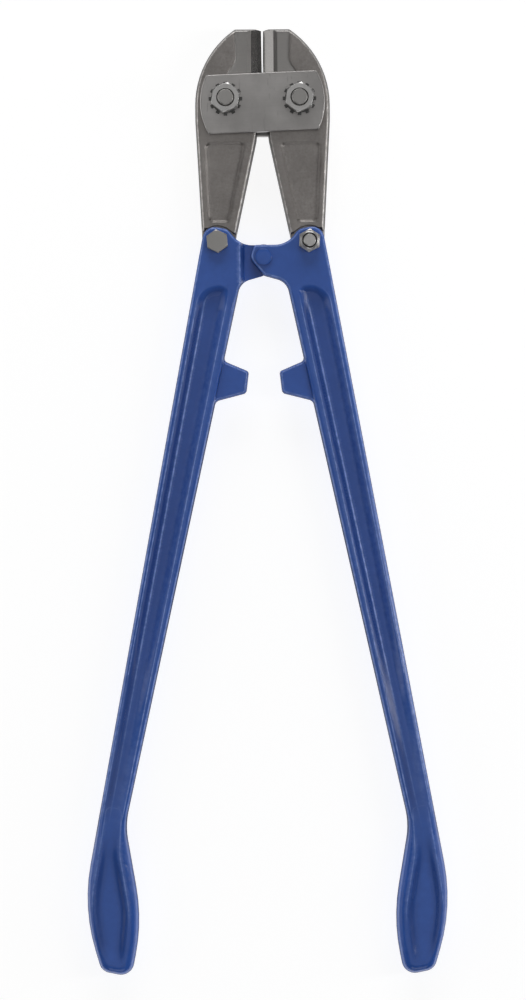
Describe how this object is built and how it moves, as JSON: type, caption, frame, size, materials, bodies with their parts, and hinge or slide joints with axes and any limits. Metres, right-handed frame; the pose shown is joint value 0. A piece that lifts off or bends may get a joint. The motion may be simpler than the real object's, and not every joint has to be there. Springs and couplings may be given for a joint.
{
  "type": "bolt cutters",
  "caption": "Compound-action bolt cutters with forged jaws between bolted link plates and long blue I-beam handles ending in paddle grips.",
  "frame": {"origin": "middle of the footprint, on the plane the tool rests on when it lies on its back", "axes": "+Z along the hinge axes, out of the front face with the jaw nuts; +Y from the grips towards the jaw tips; +X to the right as seen from the front"},
  "size_m": [0.2308, 0.605, 0.0401],
  "materials": {
    "blue_enamel": "gloss",
    "jaw_steel": "satin, forged and ground",
    "plate_steel": "satin",
    "zinc": "zinc plated",
    "nylon": "matt"
  },
  "bodies": {
    "plates": {"front_link_plate": "plate_steel", "rear_link_plate": "plate_steel", "left_jaw_bolt": "zinc", "right_jaw_bolt": "zinc", "left_jaw_nut": "zinc", "right_jaw_nut": "zinc", "left_jaw_washer": "zinc", "right_jaw_washer": "zinc"},
    "left_jaw": {"left_jaw": "jaw_steel"},
    "right_jaw": {"right_jaw": "jaw_steel"},
    "left_handle": {"left_handle": "blue_enamel", "left_handle_bolt": "zinc", "left_handle_nut": "zinc", "left_nut_ring": "nylon"},
    "right_handle": {"right_handle": "blue_enamel", "right_handle_bolt": "zinc", "right_handle_nut": "zinc", "right_nut_ring": "nylon", "centre_rivet": "blue_enamel", "rivet_washer": "blue_enamel"}
  },
  "joints": [
    {"name": "left_handle_fold", "type": "hinge", "parent": "left_jaw", "child": "left_handle", "pos_m": [-0.0295, 0.16644, 0.01755], "axis": [0, 0, -1], "range_deg": [-4.2, 48]},
    {"name": "left_jaw_turn", "type": "hinge", "parent": "plates", "child": "left_jaw", "pos_m": [-0.0236, 0.25714, 0.01755], "axis": [0, 0, 1], "range_deg": [-0.71, 8.01]},
    {"name": "right_jaw_turn", "type": "hinge", "parent": "plates", "child": "right_jaw", "pos_m": [0.0236, 0.25714, 0.01755], "axis": [0, 0, -1], "range_deg": [-0.71, 8.01]},
    {"name": "right_handle_fold", "type": "hinge", "parent": "right_jaw", "child": "right_handle", "pos_m": [0.0295, 0.16644, 0.01755], "axis": [0, 0, 1], "range_deg": [-4.2, 48]}
  ],
  "couplings": [
    {"joint": "left_jaw_turn", "follows": "left_handle_fold", "ratio": 0.16667},
    {"joint": "right_jaw_turn", "follows": "left_handle_fold", "ratio": 0.16667},
    {"joint": "right_handle_fold", "follows": "left_handle_fold", "ratio": 1}
  ]
}
